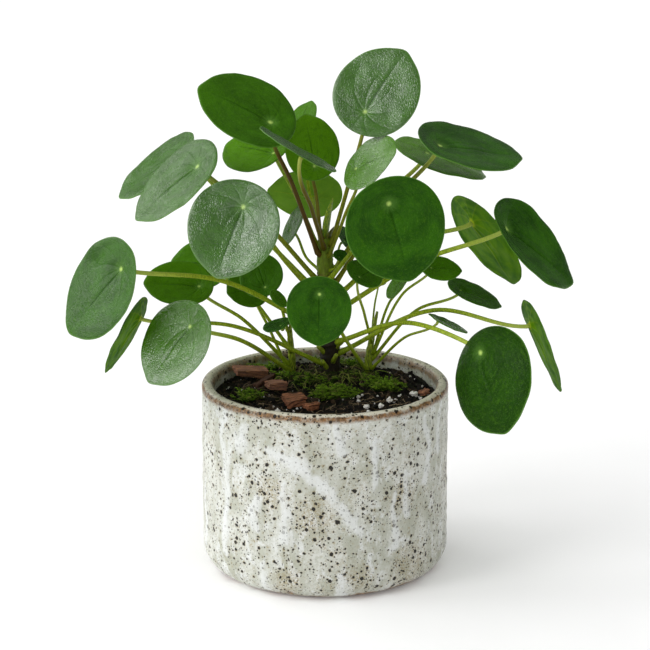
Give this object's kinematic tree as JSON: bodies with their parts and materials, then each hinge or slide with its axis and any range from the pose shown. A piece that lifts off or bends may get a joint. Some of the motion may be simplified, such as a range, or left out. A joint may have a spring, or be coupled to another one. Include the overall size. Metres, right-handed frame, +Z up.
{
  "type": "potted pilea plant",
  "caption": "Round-leaved pilea in a straight-sided speckled stoneware pot: upright stem with long arching petioles and coin-shaped leaves over a mossy, chunky potting mix.",
  "frame": {"origin": "centre of the pot's flat foot, on the surface it stands on", "axes": "+Z up along the pot's axis; the plant's widest spread is along X and its front is -Y"},
  "size_m": [0.2834, 0.1548, 0.2948],
  "materials": {
    "speckled_glaze": "pale grey-green stoneware glaze with dark iron specks and rust-brown edges, satin",
    "potting_soil": "near-black moist peat and bark mix, rough",
    "stem_skin": "brown corky skin low down, olive green above, matte",
    "young_leaf": "folded young leaf with brown bud scales, satin",
    "leaf_green": "deep green leaf with a cool sheen, paler dot and petiole, satin",
    "bark": "red-brown broken bark, rough",
    "moss": "soft green moss",
    "perlite": "white popped grains, rough"
  },
  "bodies": {
    "root": {"pot": "speckled_glaze", "soil": "potting_soil", "main_stem": "stem_skin", "left_shoot": "stem_skin", "right_shoot": "stem_skin", "crown_bud": "young_leaf", "leaf_01": "leaf_green", "leaf_02": "leaf_green", "leaf_03": "leaf_green", "leaf_04": "leaf_green", "leaf_05": "leaf_green", "leaf_06": "leaf_green", "leaf_07": "leaf_green", "leaf_08": "leaf_green", "leaf_09": "leaf_green", "leaf_10": "leaf_green", "leaf_11": "leaf_green", "leaf_12": "leaf_green", "leaf_13": "leaf_green", "leaf_14": "leaf_green", "leaf_15": "leaf_green", "leaf_16": "leaf_green", "leaf_17": "leaf_green", "leaf_18": "leaf_green", "leaf_19": "leaf_green", "leaf_20": "leaf_green", "leaf_21": "leaf_green", "leaf_22": "leaf_green", "leaf_23": "leaf_green", "leaf_24": "leaf_green", "leaf_25": "leaf_green", "leaf_26": "leaf_green", "leaf_27": "leaf_green", "leaf_28": "leaf_green", "leaf_29": "leaf_green", "leaf_30": "leaf_green", "leaf_31": "leaf_green", "leaf_32": "leaf_green", "leaf_33": "leaf_green", "leaf_34": "leaf_green", "leaf_35": "leaf_green", "leaf_36": "leaf_green", "leaf_37": "leaf_green", "bark_chip_1": "bark", "bark_chip_2": "bark", "bark_chip_3": "bark", "bark_chip_4": "bark", "bark_chip_5": "bark", "bark_chip_6": "bark", "moss_1": "moss", "moss_2": "moss", "moss_3": "moss", "moss_4": "moss", "moss_5": "moss", "perlite_1": "perlite", "perlite_2": "perlite", "perlite_3": "perlite", "perlite_4": "perlite", "perlite_5": "perlite"}
  },
  "joints": []
}
